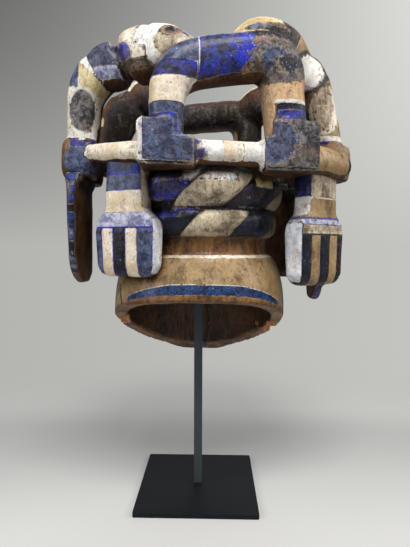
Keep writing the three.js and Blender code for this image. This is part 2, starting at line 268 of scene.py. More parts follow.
face = {
    "rings": [(184, 42, 30, 91), (194, 54, 35, 89), (208, 63, 36, 87), (226, 70, 34, 85), (248, 75, 32, 82),
              (274, 78, 30, 80), (300, 78, 27, 79), (324, 77, 29, 76), (346, 74, 29, 73), (368, 68, 26, 70)],
    "nose": [(240, 20, 8, 116), (244, 24, 14, 116), (252, 22, 17, 116), (263, 14, 15, 113), (282, 9.5, 11, 109),
             (302, 9, 8, 106), (318, 10, 5, 104)],
    "eye": {"apart": 37, "y": 98, "z": 296, "half": 21, "bulge": 10, "tall": 10.5, "turn": 22},
    "mouth": {"half": 27, "z": 218, "y": 108, "lip": 7},
}


def rimHeight(y):
    a, b, c = helmet["rim"]
    return a + b * y + c * y * y


def helmetLoft(rows, sides):
    rings = []
    for z, halfWidth, nape, front in smoothRows(rows, 2):
        a, b = roundedPoints(sides, halfWidth, 1, helmet["roundness"])
        rings.append(np.stack([a + helmet["x"], np.where(b > 0, b * front, b * nape), np.full(sides, z)], 1))
    return skin(rings)


def faceParts():
    parts = [levelRings(face["rings"], 44, 2.3), levelRings(face["nose"], 24, 2)]
    e, m = face["eye"], face["mouth"]
    for s in (-1, 1):
        parts.append(limb([(s * 84, 72, 264, 5, 8), (s * 97, 66, 266, 6.5, 10), (s * 107, 55, 284, 5.5, 10),
                           (s * 109, 51, 306, 5.5, 10), (s * 103, 57, 321, 6, 10), (s * 88, 70, 324, 5, 8)],
                          (s * 0.72, 0.69, 0), sides=18))  # ear
        parts.append(ball((14, 6, 24), (0, 0, -s * 50), (s * 92, 61, 294)))
        parts.append(ball((e["half"], e["bulge"], e["tall"]), (0, 0, -s * e["turn"]),
                          (s * e["apart"], e["y"], e["z"])))
        parts.append(limb([(s * 8, 103, 320, 3, 4), (s * 26, 101, 324, 4, 4), (s * 45, 94, 320, 4, 4),
                           (s * 62, 82, 306, 3, 4)], (0, 1, 0), sides=14))  # brow
        half, y, z = m["half"], m["y"], m["z"]
        lip = z + s * m["lip"]
        parts.append(limb([(-half, y, z, 2, 4), (-half / 2, y + 4, lip, 6, 11), (0, y + 6, lip, m["lip"], 12),
                           (half / 2, y + 4, lip, 6, 11), (half, y, z, 2, 4)], (0, 1, 0), sides=16))
    return parts


def belowRim():
    ys = np.linspace(170, -170, 41)
    outline = [(-170, 60), (170, 60)] + [(y, rimHeight(y)) for y in ys]
    points, faces = prism(outline, -170, 170)
    return points[:, [1, 0, 2]], faces


def cutterObject(name, parts):
    points, faces, _ = joined(parts)
    made = meshObject(name, points, faces)
    outwardFaces(made)
    made.hide_render = True
    return made


def aroundNape(points):
    # Degrees round from the nape, positive towards +X
    return np.degrees(np.arctan2(points[:, 0] - helmet["x"], -points[:, 1]))


def strandSides(points):
    # Signed distance in mm to the edge of the nearest light strand of the turban, positive inside it
    around, z = aroundNape(points), points[:, 2]
    upper = z > 409
    lean = np.where(upper, 0.5 * (z - 432), 0.5 * (z - 392) + 3)
    pitch = 360 / helmet["strands"]
    place = (around - helmet["strandStart"] - lean) % pitch
    wide = helmet["strandWide"]
    inside = np.minimum(place, wide - place)
    outside = np.minimum(place - wide, pitch - place)
    return np.where(place < wide, inside, -outside) * 1.75, place  # a degree is about 2 mm round the turban


helmetParts = [helmetLoft(helmet["outside"], 120)] + faceParts()
points, faces, owners = joined(helmetParts)
cutters = [
    cutterObject("hollowCut", [helmetLoft(helmet["hollow"], 90)]),
    cutterObject("rimCut", [belowRim()]),
]
for index, (size, place) in enumerate(helmet["breaks"]):
    cutters.append(cutterObject(f"breakCut{index}", [ball(size, (8 * index, 11 * index, 25 * index), place, 11)]))
helmetPiece = carved("helmet_carving", points, faces, carving["voxelHelmet"], cutters)
smoothed(helmetPiece, carving["smoothing"])
print("helmet carved", len(helmetPiece.data.polygons))


# The open cage of limbs: u across, v along its depth, turned on the helmet

cage = {"turn": 10, "middle": (18.6, 5.2), "farDrop": 6, "farDropAbove": 540}


def toWorld(points):
    c, s = cos(radians(cage["turn"])), sin(radians(cage["turn"]))
    u, v, z = np.asarray(points).T
    return np.stack([cage["middle"][0] + u * c - v * s, cage["middle"][1] + u * s + v * c, z], 1)


def toCage(points):
    c, s = cos(radians(cage["turn"])), sin(radians(cage["turn"]))
    x, y, z = points.T
    x, y = x - cage["middle"][0], y - cage["middle"][1]
    return np.stack([x * c + y * s, -x * s + y * c, z], 1)


# Rows of the limbs: u, v, z, half size across, half size in depth, written for the nape half
arms = {
    "leftNear": [
        (-42, -94, 586, 24, 24), (-66, -82, 600, 31, 30), (-92, -69, 603, 33, 33), (-112, -60, 600, 31, 31),
        (-121, -56, 597, 21, 22), (-127, -53, 596, 20, 21), (-131, -52, 594, 28, 28), (-146, -46, 590, 28, 28),
        (-156, -42, 585, 24, 25), (-161, -40, 580, 26, 26), (-172, -36, 561, 23, 25), (-176, -34, 538, 20, 25),
        (-178, -34, 508, 19, 24), (-180, -34, 474, 18, 22)],
    "leftFar": [
        (-44, -98, 586, 26, 24), (-68, -86, 594, 33, 30), (-90, -74, 594, 33, 32), (-106, -67, 590, 31, 31),
        (-114, -64, 586, 22, 23), (-120, -62, 582, 23, 23), (-124, -61, 576, 29, 28), (-133, -60, 562, 29, 27),
        (-139, -60, 545, 26, 26), (-144, -60, 520, 24, 25), (-152, -58, 498, 21, 24), (-160, -56, 474, 19, 22)],
    "rightNear": [
        (16, -98, 592, 24, 24), (38, -88, 612, 32, 32), (60, -79, 616, 34, 33), (79, -75, 612, 31, 31),
        (94, -71, 601, 26, 27), (104, -69, 592, 23, 24), (112, -68, 588, 26, 26), (124, -67, 574, 23, 26),
        (132, -66, 556, 20, 25), (138, -65, 534, 19, 25), (145, -64, 508, 18.5, 24), (154, -63, 474, 18, 21)],
    "rightFar": [
        (78, -100, 588, 26, 24), (95, -88, 602, 30, 30), (113, -78, 602, 30, 30), (126, -72, 594, 26, 26),
        (132, -69, 589, 21, 22), (139, -67, 581, 24, 25), (147, -66, 560, 20, 24), (151, -65, 538, 19, 24),
        (154, -64, 508, 18, 23), (157, -63, 474, 18, 21)],
}
ring = {
    "tube": [(-62, -118, 474, 16, 15), (64, -118, 473, 16, 15)],
    "collar": [(39.5, -118, 473, 18.6, 17.6), (41, -118, 473, 20, 19), (47, -118, 473, 20, 19),
               (48, -118, 473, 18.6, 17.6)],
    "left": [(-92, -114, 474, 14, 13.5), (-128, -88, 476, 13, 13), (-158, -64, 480, 10.5, 11),
             (-167, -56, 481, 8, 8.5)],
    "right": [(100, -108, 471, 20, 21), (128, -97, 471, 19, 19), (156, -88, 468, 15.5, 16),
              (168, -84, 466, 10.5, 11.5)],
    "sides": [(-183, 471, 17.5, 60), (160, 471, 16.5, 72)],  # the bars that run back: u, z, radius, reach
    "joints": [(-182, 34, 25, 24), (159, 62, 22, 21)],
}
blocks = {
    "left": {"s": -1, "inner": 37, "outer": 103, "step": 62, "low": 454, "shelf": 489, "high": 507},
    "right": {"s": 1, "inner": 47, "outer": 110, "step": 62, "low": 451, "shelf": 491, "high": 511},
    "front": {"left": {"inner": 44, "outer": 110, "step": 69}, "right": {"inner": 41, "outer": 108, "step": 50}},
    "near": (-141, -82), "far": (82, 141), "chamfer": 4,
}
hands = {
    "left": {"u": -119, "v": 82, "facing": 122, "top": 468, "bottom": 323, "wide": 1, "deep": 1, "shift": 5},
    "right": {"u": 125, "v": 86, "facing": 59, "top": 466, "bottom": 311, "wide": 1.07, "deep": 1.12, "shift": 0},
    "palm": 43.5, "groove": 1.9, "grooveWide": 1.7,
}
tongues = {
    "left": {"u": -184, "v": 36, "top": 456, "near": (170, 312, 12, 0), "far": (190, 318, 12, 0)},
    "right": {"u": 142, "v": 58, "top": 456, "near": (-12, 289, 0, -6), "far": (10, 318, 0, -6)},
}


def portalRows(far):
    left, right, tube, more = (-75, 81, 0.86, 0) if far else (-73, 72, 1, 3)
    return [
        (left - 2, -112, 478, 20, 25), (left - 1, -112, 508, 21, 27), (left, -112, 534, 21.5, 28),
        (left + 5, -112, 556, 24, 28), (left + 25, -112, 574, 27 * tube, 27), (-12, -112, 583, 27.5 * tube, 27),
        (22, -112, 588, 27.5 * tube, 28), (right - 20, -111, 590, 28 * tube, 30),
        (right - 3 - more, -110, 572, 24 + more, 32), (right - more, -109, 548, 22 + more, 32),
        (right + 4 - more, -109, 516, 21 + more, 30), (right + 6 - more, -109, 480, 20 + more, 27)]



def handRows(h):
    cuff = h["top"] - 62
    knuckles = cuff - 20
    palm, thick, bottom = hands["palm"] * h["wide"], 16 * h["deep"], h["bottom"]
    return [(h["top"], 26 * h["wide"], 15 * h["deep"]), (cuff + 3, 28 * h["wide"], 15 * h["deep"]),
            (cuff, 28.6 * h["wide"], 15.2 * h["deep"]), (cuff - 13, 41 * h["wide"], thick),
            (knuckles + 1, palm - 0.6, thick), (knuckles - 5, palm, thick + 0.4),
            (bottom + 14, 42 * h["wide"], 15.5 * h["deep"]), (bottom + 4, 37 * h["wide"], 12.5 * h["deep"]),
            (bottom, 30 * h["wide"], 8 * h["deep"])]


def tongueRows(top, bottom, shift, inward):
    middle = top + (bottom - top) * 0.45
    return [(top, 27, 13), (top - 12, 33, 12), (top - 18, 38, 8), (middle, 39, 7.5, 0, inward * 0.5),
            (bottom + 34, 38, 7, shift * 0.2, inward * 0.7), (bottom + 16, 32, 7, shift * 0.5, inward * 0.9),
            (bottom + 5, 21, 6.5, shift * 0.9, inward), (bottom, 11, 5, shift, inward)]


def elbowOutline(block):
    s, c = block["s"], blocks["chamfer"]
    r = 7 if s < 0 else 4
    outline = [(block["inner"], block["low"]), (block["outer"] - c, block["low"]), (block["outer"], block["low"] + c),
               (block["outer"], block["high"] - r), (block["outer"] - r * 0.3, block["high"] - r * 0.3),
               (block["outer"] - r, block["high"]), (block["step"], block["high"]),
               (block["step"], block["shelf"]), (block["inner"], block["shelf"])]
    return [(s * u, z) for u, z in outline][::s]


def elbowBlock(name, far):
    first = None if far else elbowOutline({**blocks[name], **blocks["front"][name]})
    return prism(elbowOutline(blocks[name]), *blocks["far" if far else "near"], first)


cageParts = []  # name, half of the cage, points and faces
lines = {}  # middle lines of the limbs, to tell how far along one a point lies


def addPart(name, side, made):
    cageParts.append((name, side, made))


for side, half in ((-1, "Near"), (1, "Far")):
    far = side > 0

    def turned(rows):
        drop = lambda z: z - cage["farDrop"] if far and z > cage["farDropAbove"] else z
        return [(u, -side * v, drop(z), a, b) for u, v, z, a, b in rows]
    addPart("portal", side, limb(turned(portalRows(far)), (0, 1, 0), sides=40, power=2.6))
    for arm, lean in (("left", 0.28), ("right", -0.15)):
        rows = turned(arms[arm + half])
        lines[arm, side] = smoothRows(rows, 4)[:, :3]
        addPart(arm + "Arm", side, limb(rows, (lean, -side * 0.97, 0), sides=36))
    for bar in ("tube", "collar", "left", "right"):
        addPart(bar + "Bar", side, limb(turned(ring[bar]), (0, 0, 1), steps=4, sides=32, power=2.1))
    for name, (u, v, wide, deep) in zip(("leftJoint", "rightJoint"), ring["joints"]):
        rows = [(498, wide - 2, deep - 3), (488, wide, deep), (462, wide, deep), (451, wide - 2, deep - 3)]
        addPart(name, side, tower(rows, u, side * v, 0, 3, 32))
    for name in ("left", "right"):
        t = tongues[name]
        facing, bottom, shift, inward = t["far" if far else "near"]
        rows = tongueRows(t["top"], bottom, side * shift, inward)
        addPart(name + "Tongue", side, tower(rows, t["u"], side * t["v"], facing, 4, 32))
        h = hands[name]
        addPart(name + "Hand", side, tower(handRows(h), h["u"], side * h["v"], side * h["facing"], 5, 44, 1))
        addPart(name + "Block", side, elbowBlock(name, far))
for name, (u, z, radius, length) in zip(("leftSide", "rightSide"), ring["sides"]):
    rows = [(u, -side * (length - inset), z, radius - cut, radius - cut)
            for side in (1, -1) for inset, cut in ((0, 2.5), (1.5, 0.6), (4, 0))[::side]]
    addPart(name, 0, limb(rows, (0, 0, 1), steps=1, sides=36, power=2))

hanging = ("leftHand", "rightHand", "leftTongue", "rightTongue")


def cagePiece(name, keep, voxel):
    chosen = [part for part in cageParts if (part[0] in hanging) == keep]
    points, faces, owners = joined([part[2] for part in chosen])
    tree = bvhtree.BVHTree.FromPolygons(points.tolist(), faces)
    made = carved(name, toWorld(points), faces, voxel)
    smoothed(made, carving["smoothing"])
    places = toCage(pointsOf(made))
    nearest = [owners[tree.find_nearest(Vector(p))[2]] for p in places.tolist()]
    print(name, "carved", len(made.data.polygons))
    return made, chosen, np.array(nearest)


framePiece, frameParts, frameOwner = cagePiece("cage_carving", False, carving["voxelCage"])
handPiece, handParts, handOwner = cagePiece("hands_carving", True, carving["voxelCage"])


# Paint. A field is a distance in mm, positive inside the painted zone

colours = ("cream", "peach", "ash", "white", "yellow", "tan", "taupe", "rust",
           "slate", "lavender", "denim", "indigo", "blue", "silver", "black")
reach = 12.0  # fields are kept within this many mm
lookReach = 22  # mm that the way a face looks counts for
spotEdge = 0.24  # a spot is this firm unless its limit says otherwise


def between(values, low, high):
    return np.minimum(values - low, high - values)


class Paint:
    # Colour fields of one piece: the last zone painted wins, and bare wood is where no field is positive
    def __init__(self, made):
        self.made = made
        count = len(made.data.vertices)
        self.fields = {name: np.full(count, -reach) for name in colours}
        self.extra = {name: np.zeros(count) for name in ("wear", "lineWhite", "lineBlue", "lineDark", "insideShade", "pale")}

    def zone(self, colour, *limits, where=None, share=1):
        # Inside all of the limits; a small share makes the edge ragged
        field = np.clip(np.minimum.reduce(limits) * share, -reach, reach)
        if where is not None:
            field = np.where(where, field, -reach)
        for name, own in self.fields.items():
            own[:] = np.maximum(own, field) if name == colour else np.minimum(own, -field)

    def mark(self, name, where):
        self.extra[name] = np.maximum(self.extra[name], np.clip(where, 0, 1))

    def write(self, detail):
        mean = neighbourMean(self.made)
        points = pointsOf(self.made)
        normals = normalsOf(self.made)
        bend = ((points - mean(points)) * normals).sum(1)
        for step in range(2):
            bend = 0.5 * bend + 0.5 * mean(bend)[:, 0]
        everything = dict(self.fields, **self.extra, edge=np.clip(bend * 2.2, -1, 1), **detail)
        for name, values in everything.items():
            layer = self.made.data.attributes.new(name, "FLOAT", "POINT")
            layer.data.foreach_set("value", np.ascontiguousarray(values, np.float32))


def limits(spec, at):
    # The smallest of the distances inside each stated limit
    fields = []
    for key, value in spec.items():
        if key == "spot":
            middle, size, *firm = value  # a spot's edge is ragged unless it is given as firm
            gap = np.stack([at["u"] - middle[0], at["v"] - middle[1], at["z"] - middle[2]], 1) / size
            fields.append((1 - np.linalg.norm(gap, axis=1)) * min(size) * (firm[0] if firm else spotEdge))
        elif key in ("nz", "side"):  # which way the surface looks
            fields.append(between(at[key], *value) * lookReach)
        else:
            fields.append(between(at[key], *value))
    return np.minimum.reduce(fields) if fields else np.full(len(at["z"]), reach)


# Colours of the cage by part: colour, limits; the nape half's numbers serve both halves
cagePaint = {
    "portal": [
        ("slate", {}), ("indigo", {"u": (12, 130), "z": (560, 700)}),
        ("rust", {"spot": ((40, -138, 592), (30, 26, 14))}),
        ("rust", {"spot": ((22, -134, 566), (16, 24, 20))}), ("blue", {"spot": ((18, -138, 592), (8, 24, 16))}),
        ("blue", {"u": (-38, 12), "z": (520, 700)}),
        ("slate", {"u": (-110, -40), "z": (470, 526)}), ("blue", {"u": (-110, -40), "z": (553, 571)}),
        ("cream", {"u": (-110, -40), "z": (525, 554)}), ("blue", {"u": (-110, -63), "z": (470, 513)}),
        ("indigo", {"u": (36, 120), "z": (520, 592)}), ("blue", {"u": (34, 84), "z": (592, 598)}),
        ("peach", {"u": (24, 54), "z": (470, 570)}), ("peach", {"u": (53, 120), "z": (530, 563)}),
        ("ash", {"spot": ((58, -140, 578), (40, 44, 25))}), ("slate", {"spot": ((50, -140, 582), (18, 40, 12))}),
        ("indigo", {"spot": ((70, -140, 574), (20, 40, 9))}),
        ("white", {"u": (53, 120), "z": (530.5, 534.5)}), ("indigo", {"u": (55, 120), "z": (470, 531)}),
        ("blue", {"u": (57, 90), "z": (505, 523)})],
    "leftArm": [
        ("cream", {"along": (-20, 91)}), ("white", {"spot": ((-98, -104, 616), (14, 34, 18))}),
        ("white", {"along": (-20, 50)}), ("taupe", {"spot": ((-62, -110, 604), (26, 30, 18), 0.5)}),
        ("slate", {"spot": ((-48, -104, 622), (12, 24, 9))}),
        ("rust", {"spot": ((-69, -106, 618), (12, 14, 8), 0.6)}),
        ("black", {"spot": ((-69, -106, 618), (8, 12, 5), 0.7)}),
        ("blue", {"spot": ((-126, -84, 592), (12, 18, 16))}), ("ash", {"along": (52, 91), "z": (0, 588)}),
        ("rust", {"spot": ((-98, -80, 574), (16, 30, 12))}),
        ("black", {"along": (91.5, 96.5)}), ("slate", {"along": (97.5, 131)}),
        ("lavender", {"along": (98, 131), "z": (0, 584)}), ("white", {"along": (131, 137)}),
        ("yellow", {"along": (137, 163)}), ("slate", {"u": (-300, -181), "along": (131, 163)}),
        ("cream", {"along": (163, 260)}), ("white", {"z": (494, 512)}),
        ("ash", {"spot": ((-177, -60, 533), (18, 36, 28), 0.4)}),
        ("slate", {"spot": ((-205, -30, 532), (14, 14, 25))})],
    "rightArm": [
        ("ash", {"along": (-20, 78)}), ("slate", {"spot": ((30, -106, 606), (20, 34, 26))}),
        ("indigo", {"spot": ((64, -106, 610), (26, 34, 22))}),
        ("yellow", {"along": (-20, 60), "nz": (0.46, 2)}),
        ("tan", {"along": (78, 106)}), ("taupe", {"along": (98, 135)}),
        ("blue", {"along": (134, 138), "u": (100, 136)}), ("tan", {"along": (138, 250)}),
        ("cream", {"spot": ((136, -88, 540), (22, 26, 32))}), ("white", {"spot": ((110, -88, 586), (24, 24, 24))}),
        ("taupe", {"spot": ((132, -88, 545), (12, 16, 28))}),
        ("white", {"z": (501, 508)}), ("blue", {"z": (497, 501), "u": (100, 143)})],
    "tubeBar": [("cream", {}), ("white", {"u": (-34, -8)}), ("white", {"u": (16, 44)}),
                ("blue", {"spot": ((-37, -132, 469), (7, 12, 5))}),
                ("blue", {"spot": ((-41, -134, 484), (4, 14, 5))})],
    "collarBar": [("white", {})],
    "leftBar": [("cream", {})],
    "rightBar": [("tan", {}), ("indigo", {"u": (164, 200), "z": (440, 500)})],
    "leftBlock": [("slate", {}), ("lavender", {"u": (-120, -104)}), ("white", {"u": (-120, -107)}),
                  ("indigo", {"z": (440, 459)})],
    "rightBlock": [("ash", {}), ("slate", {"spot": ((50, -141, 486), (30, 40, 26))}), ("indigo", {"z": (440, 456)})],
    "leftJoint": [("slate", {}), ("blue", {"z": (488, 500), "u": (-300, -160)}), ("rust", {"u": (-300, -193)})],
    "rightJoint": [("indigo", {"u": (0, 156)}), ("tan", {"u": (156, 300)})],
    "leftSide": [("slate", {})],
    "rightSide": [("slate", {})],
    "leftHand": [
        ("slate", {"z": (430, 500)}), ("blue", {"z": (448, 470)}), ("cream", {"z": (403, 430)}),
        ("lavender", {"z": (384, 403)}), ("indigo", {"z": (200, 385)}),
        ("slate", {"z": (200, 385), "across": (-60, -31)}), ("slate", {"z": (200, 384), "across": (21, 60)}),
        ("cream", {"z": (200, 384), "across": (-31, -14)}), ("cream", {"z": (200, 384), "across": (4, 21)}),
        ("silver", {"side": (0.72, 2), "z": (200, 408)}), ("taupe", {"side": (0.72, 2), "z": (408, 470)})],
    "rightHand": [
        ("tan", {"z": (399, 500)}), ("taupe", {"z": (425, 500)}), ("white", {"z": (423.2, 425.4)}),
        ("blue", {"z": (397, 399.5)}), ("lavender", {"z": (390, 397)}), ("taupe", {"z": (378, 390)}),
        ("indigo", {"z": (200, 378)}),
        ("tan", {"z": (200, 377), "across": (-28, -9.5)}), ("tan", {"z": (200, 377), "across": (9.5, 28)}),
        ("silver", {"side": (0.72, 2), "z": (200, 392)}), ("white", {"side": (0.72, 2), "z": (392, 426)}),
        ("blue", {"side": (0.72, 2), "z": (426, 470)})],
    "leftTongue": [("indigo", {}), ("denim", {"z": (368, 404)}), ("blue", {"z": (414, 470)}),
                   ("denim", {"spot": ((-186, -60, 334), (20, 60, 20))})],
    "rightTongue": [("indigo", {}), ("blue", {"z": (270, 330)})],
}
# Where the borders between colours are drawn with a line: part, line's colour, limits
cageLines = [
    ("portal", "lineWhite", {"u": (-43, -33), "z": (566, 700)}),
    ("portal", "lineBlue", {"u": (5, 19), "z": (566, 700)}),
    ("portal", "lineWhite", {"u": (-120, -50), "z": (548, 558)}),
    ("portal", "lineDark", {"u": (-120, -50), "z": (566, 576)}),
    ("portal", "lineWhite", {"u": (54, 120), "z": (528, 538)}),
    ("portal", "lineDark", {"u": (-120, -50), "z": (520, 530)}),
    ("leftArm", "lineWhite", {"along": (150, 260)}), ("leftArm", "lineDark", {"along": (44, 56)}),
    ("rightArm", "lineDark", {"along": (66, 145)}),
    ("leftHand", "lineBlue", {"z": (200, 394)}), ("leftHand", "lineBlue", {"z": (425, 436)}),
    ("rightHand", "lineDark", {"z": (200, 392)}),
    ("leftBlock", "lineWhite", {"u": (-120, -94)}),
]
bareInside = {
    "level": -0.22, "down": 0.75,  # how far inward or down a face looks before it is left unpainted
    "faceHalf": 25,  # from here on, towards the face
    "insideShadeBelow": 620, "insideShadeAbove": 425,
}


def alongLine(points, line):
    best = np.full(len(points), 1e9)
    along = np.zeros(len(points))
    start = 0.0
    for a, b in zip(line[:-1], line[1:]):
        length = np.linalg.norm(b - a)
        t = np.clip((points - a) @ (b - a) / length ** 2, 0, 1)
        gap = np.linalg.norm(points - (a + t[:, None] * (b - a)), axis=1)
        closer = gap < best
        best = np.where(closer, gap, best)
        along = np.where(closer, start + t * length, along)
        start += length
    return along


def placesOf(made):
    points, normals = toCage(pointsOf(made)), normalsOf(made)
    turn = radians(cage["turn"])
    nu = normals[:, 0] * cos(turn) + normals[:, 1] * sin(turn)
    nv = -normals[:, 0] * sin(turn) + normals[:, 1] * cos(turn)
    return points, np.stack([nu, nv, normals[:, 2]], 1)


def sidedPlaces(name, side, points, normals):
    # A part's points as if it were in the nape half
    mirrored = side > 0
    flip = np.array([1, -1 if mirrored else 1, 1])
    p, n = points * flip, normals * flip
    z = p[:, 2] + (cage["farDrop"] if mirrored else 0) * np.clip((p[:, 2] - 500) / 40, 0, 1)
    at = {"u": p[:, 0], "v": p[:, 1], "z": z, "nz": n[:, 2]}
    if name.endswith("Arm"):
        at["along"] = alongLine(points, lines[name[:-3], side])
        if mirrored:  # the far arms are shorter, so their stations are stretched to the near ones
            stretch, start = (249 / 226, 0) if name == "leftArm" else (234 / 190, 22)
            at["along"] = at["along"] * stretch + start
    if name.endswith("Hand"):
        h = hands[name[:-4]]
        out = np.array([cos(radians(-h["facing"])), sin(radians(-h["facing"]))])
        du, dv = p[:, 0] - h["u"], p[:, 1] + h["v"]
        at["across"] = -out[1] * du + out[0] * dv
        at["out"] = out[0] * du + out[1] * dv
        at["side"] = abs(-out[1] * n[:, 0] + out[0] * n[:, 1])
    return at


def painted(made, parts, owner):
    points, normals = placesOf(made)
    paint = Paint(made)
    # Bare wood looks to the cage's middle or straight down
    outward = points[:, :2] / np.maximum(np.linalg.norm(points[:, :2], axis=1), 1)[:, None]
    portals = np.isin(owner, [i for i, part in enumerate(parts) if part[0] in ("portal", "leftBlock", "rightBlock")])
    ahead = np.stack([0 * points[:, 0], np.sign(points[:, 1])], 1)
    share = 0 if made is handPiece else 0.6
    outward = np.where(portals[:, None], ahead, (1 - share) * outward + share * ahead)
    outward /= np.maximum(np.linalg.norm(outward, axis=1), 0.01)[:, None]
    facing = (normals[:, :2] * outward).sum(1)
    inward = (facing - bareInside["level"]) * 30 + 14 * np.clip(normals[:, 2], 0, 1)
    bare = np.minimum(inward, (normals[:, 2] + bareInside["down"]) * 24)
    faceHalf = points[:, 1] > bareInside["faceHalf"]  # there it is bare towards the nape as well, but for patches
    patches = 80 * np.clip(noiseAt(points, 30, 2.0) - 0.03, 0, 1)
    toFace = (normals[:, 1] + 0.05) * 30 + 20 * np.clip(normals[:, 2] - 0.3, 0, 1) + patches
    bare = np.where(faceHalf, np.minimum(bare, toFace), bare)
    for index, (name, side, _) in enumerate(parts):
        mine = owner == index
        if not mine.any():
            continue
        for half in ((-1, 1) if side == 0 else (side,)):
            here = mine & ((points[:, 1] * half >= 0) if side == 0 else True)
            at = sidedPlaces(name, half, points, normals)
            for colour, spec in cagePaint[name]:
                paint.zone(colour, limits(spec, at), where=here)
            for part, line, spec in cageLines:
                if part == name:
                    paint.mark(line, np.where(here, limits(spec, at) / 3, 0))
    free = np.isin(owner, [i for i, part in enumerate(parts) if part[0] not in ("leftHand", "rightHand")])
    limit = np.where(free | faceHalf, bare + 3 * noiseAt(points, 30, 5.0), reach)
    for own in paint.fields.values():
        own[:] = np.minimum(own, limit)
    # Painted shade on the faces that look into the cage, fading out towards the top and weaker low down
    low = np.clip((bareInside["insideShadeBelow"] - points[:, 2]) / 60, 0, 1)
    high = np.clip((points[:, 2] - bareInside["insideShadeAbove"]) / 25, 0, 1)
    paint.mark("insideShade", np.clip(-facing, 0, 1) * low * (0.3 + 0.7 * high))
    return paint


def carveHands():
    points, normals = placesOf(handPiece)
    world, worldNormals = pointsOf(handPiece), normalsOf(handPiece)
    depth = np.zeros(len(points))
    for index, (name, side, _) in enumerate(handParts):
        if not name.endswith("Hand"):
            continue
        h = hands[name[:-4]]
        at = sidedPlaces(name, side, points, normals)
        knuckles = h["top"] - 84
        mine = handOwner == index
        inFingers = np.clip((knuckles - at["z"]) / 2, 0, 1) * np.clip((at["out"] - 3) / 3, 0, 1) * mine
        for share in (-0.6, -0.2, 0.2, 0.6):
            gap = at["across"] - share * hands["palm"] * h["wide"] + h["shift"]
            depth += hands["groove"] * inFingers * np.exp(-(gap / hands["grooveWide"]) ** 2)
        depth += 1.2 * np.exp(-((at["z"] - knuckles) / 1.8) ** 2) * mine * (at["out"] > 3)
    putPoints(handPiece, world - worldNormals * depth[:, None])


def toolMarked(made, seed, amount=1.0):
    points, normals = pointsOf(made), normalsOf(made)
    marks = facetsAt(points + 3 * np.stack([noiseAt(points, 22, seed + k) for k in range(3)], 1), 15, seed)
    marks = (marks - 0.5) * 0.9 + noiseAt(points, 34, seed + 7) * 1.5
    mean = neighbourMean(made)
    for step in range(2):
        marks = mean(marks)[:, 0]
    putPoints(made, points + normals * (marks * carving["toolMarks"] * amount)[:, None])


def carveHelmet():
    points, normals = pointsOf(helmetPiece), normalsOf(helmetPiece)
    strand, place = strandSides(points)
    radial = np.hypot(points[:, 0] - helmet["x"], points[:, 1])
    outer = np.clip((radial - 88) / 4, 0, 1)
    outer *= np.clip((points[:, 2] - 376) / 5, 0, 1) * np.clip((466 - points[:, 2]) / 6, 0, 1)
    groove = helmet["groove"] * np.exp(-(strand / helmet["grooveWide"]) ** 2) * outer
    swell = 1.6 * np.clip(1 - (abs(strand) / 26), 0, 1) * outer  # strands are fullest in the middle
    putPoints(helmetPiece, points - normals * (groove + swell - 0.4 * outer)[:, None])


carveHands()
carveHelmet()
toolMarked(helmetPiece, 11.3)
toolMarked(framePiece, 4.7)
toolMarked(handPiece, 8.1, 0.8)
print("tool marks cut")

framePaint = painted(framePiece, frameParts, frameOwner)
handPaint = painted(handPiece, handParts, handOwner)


